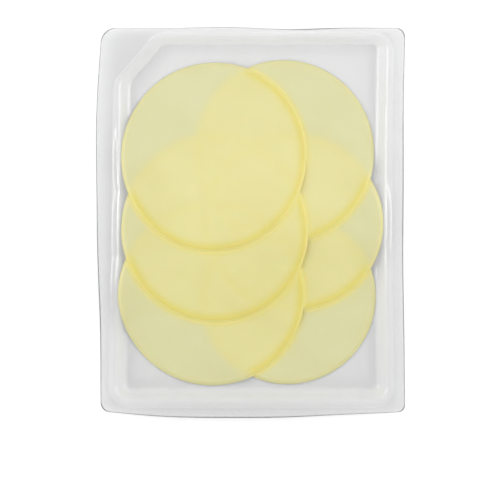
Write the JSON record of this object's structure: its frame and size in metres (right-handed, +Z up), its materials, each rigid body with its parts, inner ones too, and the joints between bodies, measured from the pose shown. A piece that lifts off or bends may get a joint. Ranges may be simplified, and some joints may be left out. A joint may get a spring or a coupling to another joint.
{
  "type": "sliced cheese pack",
  "caption": "Sealed clear plastic pack: a shallow formed tray with a flange and a clear lid film, holding thin round cheese slices laid like roof tiles in two columns",
  "frame": {"origin": "on the underside of the tray, in the middle of the pack's bounding box", "axes": "+Z up through the lid film, +Y to the pack's top edge, +X to the pack's right edge when it is seen from above"},
  "size_m": [0.1606, 0.2033, 0.0103],
  "materials": {
    "clear_web": "clear glossy formed plastic",
    "clear_film": "clear glossy film",
    "cheese": "soft satin, slightly moist"
  },
  "bodies": {
    "root": {"tray": "clear_web", "lid_film": "clear_film", "slice_right_lower": "cheese", "slice_right_middle": "cheese", "slice_right_upper": "cheese", "slice_left_lower": "cheese", "slice_left_middle": "cheese", "slice_left_upper": "cheese"}
  },
  "joints": []
}
